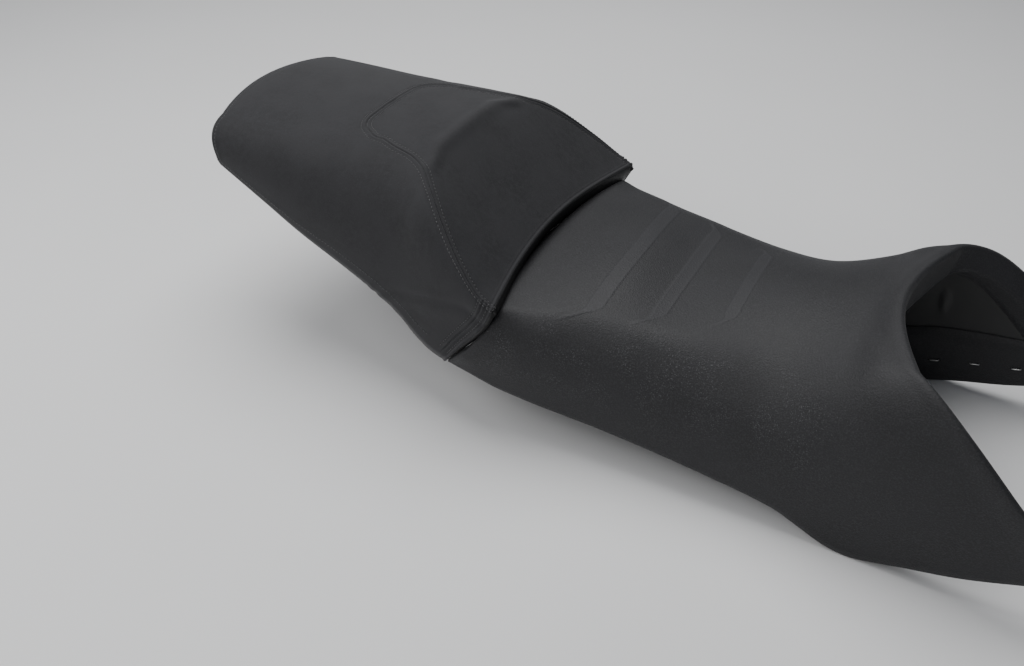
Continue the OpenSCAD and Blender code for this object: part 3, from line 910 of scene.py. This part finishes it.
STITCH_LINE = 5.6
STITCH_PITCH = 4.2
STITCH_LENGTH = 2.9
STITCH_R = 0.42
STITCH_RISE = 0.3
STITCH_SIDES = 6

# Rings along a stitch: (share of its half length, share of the thread's radius)
STITCH_RINGS = [(-1, 0.25), (-0.85, 0.8), (-0.4, 1), (0, 1), (0.4, 1), (0.85, 0.8), (1, 0.25)]

# Folds, grooves and dips of the seams: (height or depth, distance from the line, width)
FOLD = (0.6, 2.0, 1.3)
GROOVE = (0.7, 0, 0.8)
DIP = (0.35, STITCH_LINE, 1.0)
EDGE_FOLD = (0.5, 1.6, 1.2)
EDGE_GROOVE = (0.6, -0.2, 0.8)


def raised(d, form):
    """One fold, groove or dip over signed distances from a seam's line."""
    height, at, width = form
    return height * ridge(d, at, width)


def double_seam(d):
    """Two panels sewn together: a fold either side of the seam, and the dips of topstitching."""
    folds = raised(d, FOLD) + raised(-d, FOLD)
    dips = raised(d, DIP) + raised(-d, DIP)
    return folds - raised(d, GROOVE) - dips


def single_seam(d):
    """A turned edge: a low fold on the left and a groove on the right."""
    return raised(d, EDGE_FOLD) - raised(d, EDGE_GROOVE)


def capsule(centre, along, up):
    """Points and faces of one stitch, a short thread that dips at both ends."""
    half = STITCH_LENGTH / 2
    angle = np.linspace(0, 2 * math.pi, STITCH_SIDES, endpoint=False)[:, None]
    around = np.cos(angle) * np.cross(up, along) + np.sin(angle) * up
    rings = [
        centre + along * half * s + up * STITCH_RISE * (1 - s * s) + STITCH_R * r * around
        for s, r in STITCH_RINGS
    ]
    return np.concatenate(rings), ring_faces(len(rings), STITCH_SIDES)


def stitches(seam, offset, surface):
    """Capsules along a line beside a seam, laid on a surface."""
    parts = []
    line = resampled(seam.points + seam.side * offset, STITCH_PITCH)
    tangents = unit(np.gradient(line, axis=0))
    for p, along in zip(line, tangents):
        spot, up, _, _ = surface.find_nearest(Vector(p))
        up = np.array(up)
        along = unit(along - up * np.dot(along, up))
        parts.append(capsule(np.array(spot), along, up))
    return parts


def surface_of(grid):
    points = [Vector(p) for p in grid.reshape(-1, 3)]
    return BVHTree.FromPolygons(points, grid_faces(grid.shape[0], grid.shape[1]))


def waves(grid, size, depth):
    """Slight unevenness of a skin stretched over foam."""
    x, y = grid[..., 0] / size, grid[..., 1] / size
    return depth * (
        np.sin(x * 1.3 + 0.8 * np.sin(y * 0.9)) * np.cos(y * 1.1 + 0.4)
        + 0.5 * np.sin(x * 2.7 - y * 1.9 + 1.0)
    )


def displaced(grid, height):
    return grid + normals(grid) * height[..., None]


def mirrored(half):
    """Values from -1 to 1 out of those from 0 to 1."""
    return np.concatenate([-half[:0:-1], half])


def pieces_of(*spans):
    """Numbers over joined spans, each (from, to, count), without repeats."""
    parts = [np.linspace(a, b, n, endpoint=False) for a, b, n in spans]
    return np.concatenate([*parts, [spans[-1][1]]])


# ---- Rider seat ------------------------------------------------------------------------------------

rider_v = mirrored(pieces_of((0, 0.2, 14), (0.2, 0.64, 74), (0.64, 1, 34)))
rider_shares = pieces_of((0, 0.1, 14), (0.1, 0.16, 24), (0.16, 0.66, 220), (0.66, 1, 56))
rider_skin, rider_under = rider.grids(rider_shares, rider_v, TURN_ROWS)

# Each embossed band is (front edge x at the centre, bend x, bend y, hook end x, hook end y, width).
BANDS = [
    (-197, -200, 108, -238, 140, 16),
    (-141, -142, 84, -169, 115, 14),
    (-79, -79, 61, -99, 81, 13),
]
BAND_HEIGHT = 0.42
BAND_TIP_W = 4.0
BEND_EASE = 4
RIDGE_W = 1.3

# The ridges' share of the band's height, and how much painted highlight lightens the band and its
# ridges
RIDGE_SHARE = 0.3
BAND_PAINTED_HIGHLIGHT = 0.35
RIDGE_PAINTED_HIGHLIGHT = 0.2


def band_shape(x, y):
    """Three raised bands across the top, with a fine ridge along both edges. At each end a band
    narrows to a hook that runs back and outwards, and fades. Gives (flat share, ridge share)."""
    flat, ridges = np.zeros_like(x), np.zeros_like(x)
    for centre_x, bend_x, bend_y, hook_x, hook_y, width in BANDS:
        around = [np.interp(y + shift, [0, bend_y, hook_y], [centre_x, bend_x, hook_x])
                  for shift in (-BEND_EASE, 0, BEND_EASE)]
        behind = np.mean(around, axis=0) - x
        narrow = mix(width, BAND_TIP_W, step(bend_y - 6, mix(bend_y, hook_y, 0.5), y))
        fade = step(hook_y + 2, mix(bend_y, hook_y, 0.4), y)
        inside = step(-1.0, 1.0, behind) * step(narrow + 1.5, narrow - 1.0, behind)
        edges = ridge(behind, 1.0, RIDGE_W) + 0.7 * ridge(behind, narrow - 0.8, RIDGE_W)
        flat = np.maximum(flat, fade * inside)
        ridges = np.maximum(ridges, fade * np.minimum(edges, 1))
    return flat, ridges


# How far the soft end of each pad stands proud, by v: more where the gap between them is wide
RIDER_SWELL = [
    (0, 1.2), (0.15, 1.2), (0.3, 1.4), (0.45, 2.9), (0.55, 3.2), (0.7, 1), (0.8, 3.8), (0.85, 5.5),
    (0.9, 6.1), (1, 1.5),
]
PILLION_SWELL = [(0, 1.2), (0.3, 1.2), (0.42, 1.6), (0.58, 0), (0.75, 0.2), (0.9, 2.6), (1, 1.6)]

# The swell is full from this row on, and fades back over the top between these rows
SWELL_FULL_ROW = 5
SWELL_FADE_ROWS = (TURN_ROWS + 9, TURN_ROWS - 2)

# The roll of the rider's front edge: its height, and its middle and width in rows from the end
ROLL_HEIGHT = 2.5
ROLL_ROW = TURN_ROWS + 2
ROLL_ROWS = 5


def end_swell(v, rows, swell):
    """The soft end of a pad stands proud, towards the other pad."""
    i = np.arange(rows)
    along = step(0, SWELL_FULL_ROW, i) * step(*SWELL_FADE_ROWS, i)
    return along[:, None] * smooth(swell, np.abs(v))[None, :]


def front_roll(v, rows):
    """The foam rolls over softly at the front edge."""
    along = ridge(np.arange(rows), ROLL_ROW, ROLL_ROWS)[::-1, None]
    return ROLL_HEIGHT * along * step(1.0, 0.9, np.abs(v))[None, :]


upper = step(0.8, 0.7, np.abs(rider_v))[None, :]
flat, ridges = band_shape(rider_skin[..., 0], np.abs(rider_skin[..., 1]))
rider_relief = BAND_HEIGHT * (flat + RIDGE_SHARE * ridges)
rider_relief = upper * (rider_relief + waves(rider_skin, size=70, depth=0.35))
rider_relief += end_swell(rider_v, len(rider_skin), RIDER_SWELL)
rider_relief += front_roll(rider_v, len(rider_skin))
rider_shown = displaced(rider_skin, rider_relief)

rider_cover = cover_skin(rider_shown, rider_under).piece("rider_cover_skin", VINYL)
places = np.array([vertex.co for vertex in rider_cover.data.vertices]) / MM
# Painted highlight on the raised bands and their edge ridges, kept on the cover's points for the
# vinyl
flat, ridges = band_shape(places[:, 0], np.abs(places[:, 1]))
painted_band_highlight = BAND_PAINTED_HIGHLIGHT * flat + RIDGE_PAINTED_HIGHLIGHT * ridges
rider_cover.data.attributes.new("painted_band_highlight", "FLOAT", "POINT").data.foreach_set("value", painted_band_highlight)
thickness(rider_cover, HEM_T)
place(rider_cover, "rider_seat", "rider_vinyl", "rider_cover")

rider_foam = foam_piece("rider_foam_pad", rider_skin, rider_under)
place(rider_foam, "rider_seat", "foam", "rider_foam")

RIDER_HARDWARE = [
    "front_hook_bracket", "rider_mid_buffers", "rider_rear_buffers", "tank_rest_pads",
    "rear_tongue_plate",
]
rider_pan = pan_piece(
    "rider_pan_shell", rider_skin, rider_under, rider_v, RIDER_HARDWARE, rib_ys=(30, 88)
)
place(rider_pan, "rider_seat", "pan_plastic", "rider_base_pan")
rider_staples = staple_piece("rider_staples", rider, range(-300, 200, STAPLE_PITCH))
place(rider_staples, "rider_seat", "zinc_steel", "rider_cover_staples")

# ---- Pillion seat ----------------------------------------------------------------------------------

pillion_v = mirrored(
    pieces_of((0, 0.4, 22), (0.4, 0.47, 14), (0.47, 0.53, 40), (0.53, 0.6, 14), (0.6, 1, 30))
)
pillion_shares = pieces_of(
    (0, 0.06, 10), (0.06, 0.4, 40), (0.4, 0.51, 70), (0.51, 0.9, 60), (0.9, 1, 56)
)
pillion_skin, pillion_under = pillion.grids(pillion_shares, pillion_v, TURN_ROWS)

SEAM_REAR_X = -509
SEAM_CORNER_X = -470
SEAM_CORNER_Y = 40

# The seams at the lip lie this far behind its edge, and between these v on each side
LIP_SEAM_BACK = 10
LIP_EDGE_BACK = 2.5
LIP_START_V = 0.52
LIP_END_V = 0.97

# The hem's stitches run along this v on the sides, and this far in round the rear
HEM_STITCH_V = 0.965
HEM_STITCH_FRONT_X = -372
HEM_STITCH_REAR_X = 12 - PILLION_REAR
HEM_STITCH_REAR_IN = 5


def centre_seam():
    """The seam round the centre panel: up the left shoulder, across the top and down again."""
    down = np.linspace(pillion_front_x(V_SHOULDER), SEAM_CORNER_X, 160)
    width = smooth(pillion.lines[1], down)
    left = np.stack([down, width], axis=1)
    end = left[-1]
    bend = np.array([SEAM_REAR_X + 1, end[1] - 5])
    rear = np.array([SEAM_REAR_X, SEAM_CORNER_Y])
    corner = np.stack([bezier(end, bend, rear, t) for t in np.linspace(0, 1, 40)[1:]])
    half = np.concatenate([left, corner, [[SEAM_REAR_X, SEAM_CORNER_Y / 2]]])
    plan = np.concatenate([half, [[SEAM_REAR_X, 0]], half[::-1] * [1, -1]])
    fine = resampled(np.column_stack([plan, np.zeros(len(plan))]), 0.5)
    xs, ys = fine[:, 0], fine[:, 1]
    return Seam(pillion, xs, V_SHOULDER * ys / smooth(pillion.lines[1], xs))


def lip_seam(offset, start, end):
    """A seam along the front lip, offset behind it, from one v to another."""
    vs = np.linspace(start, end, 240)
    return Seam(pillion, pillion_front_x(np.abs(vs)) - offset, vs)


def hem_seam():
    """The line of stitches above the lower edge, round the sides and the rear."""
    sides = np.linspace(HEM_STITCH_FRONT_X, HEM_STITCH_REAR_X, 260)
    rear_vs = np.linspace(HEM_STITCH_V, -HEM_STITCH_V, 260)
    rear_xs = pillion_rear_x(np.abs(rear_vs)) + HEM_STITCH_REAR_IN
    xs = np.concatenate([sides, rear_xs, sides[::-1]])
    vs = np.concatenate([0 * sides + HEM_STITCH_V, rear_vs, 0 * sides - HEM_STITCH_V])
    return Seam(pillion, xs, vs)


# The strip's lower edge hangs this far from the CAD's, and its middle bulges forwards, by v
STRIP_HANG = (3.0, 0, -6.5)
STRIP_BULGE = [(0, 1.5), (0.3, 2), (0.5, 3.2), (0.7, 2.8), (0.88, 2), (1, 1)]

CREASE_X = -413
CREASE_FORWARD = 8
CREASE_HEIGHT = 3.6
CREASE_W = 8


def strip_shift(v):
    """How far the strip's rows, which are the last of the pillion's grid, hang and bulge."""
    share = np.linspace(0, 1, TURN_ROWS + 1)[:, None]
    hang = step(0, 1, share) * step(0.6, 0.42, np.abs(v))[None, :]
    bulge = np.sin(math.pi * share) * smooth(STRIP_BULGE, np.abs(v))[None, :]
    return hang[..., None] * np.array(STRIP_HANG) + bulge[..., None] * np.array([1.0, 0, 0])


def crease(grid, v):
    """The foam's edge between the top and the sloping front is sharper than the skin's line, and
    lies further forward near the shoulders."""
    forward = CREASE_FORWARD * step(0.3, 0.42, v)
    fade = step(0.56, 0.4, v)
    return CREASE_HEIGHT * fade * ridge(grid[..., 0], CREASE_X + forward, CREASE_W)


panel_seam = centre_seam()
left_lip = lip_seam(LIP_SEAM_BACK, LIP_START_V, LIP_END_V)
right_lip = lip_seam(LIP_SEAM_BACK, -LIP_START_V, -LIP_END_V)
lip_edge = lip_seam(LIP_EDGE_BACK, LIP_END_V, -LIP_END_V)
hem_line = hem_seam()

panel_side = panel_seam.distance(pillion_skin)
relief = double_seam(panel_side)
relief += double_seam(left_lip.distance(pillion_skin))
relief += double_seam(right_lip.distance(pillion_skin))
relief += single_seam(lip_edge.distance(pillion_skin))
relief += single_seam(hem_line.distance(pillion_skin))
relief += step(0.9, 0.75, np.abs(pillion_v))[None, :] * waves(pillion_skin, size=60, depth=0.3)
relief += crease(pillion_skin, np.abs(pillion_v)[None, :])
relief += end_swell(pillion_v, len(pillion_skin), PILLION_SWELL)[::-1]
pillion_shown = displaced(pillion_skin, relief)
pillion_shown[-TURN_ROWS - 1 :] += strip_shift(pillion_v)

# The grid's quads belong to the centre panel, to the strip or to the side panel. Next to the
# seam, up to this distance, its side decides
SEAM_REACH = 15
whole = with_side_hems(pillion_shown, pillion_under)
hem_cols = (whole.shape[1] - len(pillion_v)) // 2
in_plan = (pillion_skin[..., 0] > SEAM_REAR_X) & (pillion_v >= -V_SHOULDER - 1e-6)
in_plan &= pillion_v < V_SHOULDER - 1e-6
near_seam = np.abs(panel_side) < SEAM_REACH
in_panel = in_plan & (~near_seam | (panel_side > 0))
in_panel = np.pad(in_panel, ((0, 0), (hem_cols, hem_cols)))
in_strip = np.zeros(whole.shape[:2], bool)
in_strip[-TURN_ROWS - 1 :, hem_cols:-hem_cols] = True
in_panel &= ~in_strip

centre = Skin().add(whole, in_panel).piece("centre_panel", SUEDE)
side = Skin().add(whole, ~in_panel & ~in_strip)
side = add_end_hem(side, pillion_shown, pillion_under, rear=True).piece("side_panel", SUEDE)
strip = Skin().add(whole, in_strip)
strip = add_end_hem(strip, pillion_shown, pillion_under, rear=False).piece("front_strip", STRIP)
for piece, node, finish in (
    (centre, "pillion_centre_cover", "pillion_suede"),
    (side, "pillion_side_cover", "pillion_suede"),
    (strip, "pillion_front_strip", "strip_vinyl"),
):
    thickness(piece, HEM_T)
    place(piece, "pillion_seat", finish, node)

top_surface = surface_of(pillion_shown)
parts = []
for seam in (panel_seam, left_lip, right_lip):
    parts += stitches(seam, STITCH_LINE, top_surface) + stitches(seam, -STITCH_LINE, top_surface)
parts += stitches(hem_line, 0, top_surface)
points, faces = joined(parts)
topstitching = to_object("pillion_topstitching", points, faces, THREAD)
place(topstitching, "pillion_seat", "pillion_suede")

pillion_foam = foam_piece("pillion_foam_pad", pillion_skin, pillion_under)
place(pillion_foam, "pillion_seat", "foam", "pillion_foam")

PILLION_HARDWARE = [
    "left_front_tongue", "striker_plate", "pillion_front_buffers", "pillion_rear_buffers",
]
pillion_pan = pan_piece(
    "pillion_pan_shell", pillion_skin, pillion_under, pillion_v, PILLION_HARDWARE, rib_ys=(28, 84)
)
place(pillion_pan, "pillion_seat", "pan_plastic", "pillion_base_pan")
pillion_staples = staple_piece("pillion_staples", pillion, range(-640, -350, STAPLE_PITCH))
place(pillion_staples, "pillion_seat", "zinc_steel", "pillion_cover_staples")

# ---- Floor, light and camera -----------------------------------------------------------------------

# The floor lies just below the hems, which reach lower than the CAD's box
FLOOR_Z = cad_box[0][2] - 0.0025
FLOOR_HALF = 6


def floor_material():
    look = Look("studio_floor", rough=0.7, specular=0.3)
    cloud = look.noise(300, detail=3)
    look.paint(look.colours(cloud, grey(0.78), grey(0.82)))
    return look.material


def light(name, place_at, aim, size, power, warmth=1.0):
    """A round softbox. A warmth below 1 takes blue and some green out of its light."""
    data = bpy.data.lights.new(name, "AREA")
    data.shape = "DISK"
    data.size = size
    data.energy = power
    data.color = (1.0, 0.5 + 0.5 * warmth, warmth)
    lamp = bpy.data.objects.new(name, data)
    lamp.location = place_at
    lamp.rotation_euler = (Vector(aim) - Vector(place_at)).to_track_quat("-Z", "Y").to_euler()
    bpy.context.scene.collection.objects.link(lamp)


corners = [(x * FLOOR_HALF, y * FLOOR_HALF, FLOOR_Z) for x, y in ((-1, -1), (1, -1), (1, 1), (-1, 1))]
floor_mesh = bpy.data.meshes.new("studio_floor")
floor_mesh.from_pydata(corners, [], [(0, 1, 2, 3)])
floor_mesh.materials.append(floor_material())
floor = bpy.data.objects.new("studio_floor", floor_mesh)
bpy.context.scene.collection.objects.link(floor)

middle = (-0.2, 0, 0.05)
light("key", (-0.6, 0.45, 2.0), middle, 2.1, 44)
light("fill", (-0.4, -1.9, 1.4), middle, 1.6, 14, warmth=0.98)
light("rear", (-1.6, -0.8, 1.3), middle, 1.0, 12)

world = bpy.data.worlds.new("studio")
world.use_nodes = True
background = world.node_tree.nodes["Background"]
background.inputs["Color"].default_value = (0.82, 0.88, 1.0, 1)
background.inputs["Strength"].default_value = 0.12
bpy.context.scene.world = world

CAMERA_AZIMUTH = math.radians(28.52)
CAMERA_ELEVATION = math.radians(37.12)
CAMERA_PLACE = (0.1004, -0.8455, 0.6334)
back = Vector((
    math.sin(CAMERA_AZIMUTH) * math.cos(CAMERA_ELEVATION),
    -math.cos(CAMERA_AZIMUTH) * math.cos(CAMERA_ELEVATION),
    math.sin(CAMERA_ELEVATION),
))
camera_data = bpy.data.cameras.new("camera")
camera_data.lens = 35
camera_data.sensor_width = 36
camera = bpy.data.objects.new("camera", camera_data)
camera.location = CAMERA_PLACE
camera.rotation_euler = back.to_track_quat("Z", "Y").to_euler()
bpy.context.scene.collection.objects.link(camera)
bpy.context.scene.camera = camera
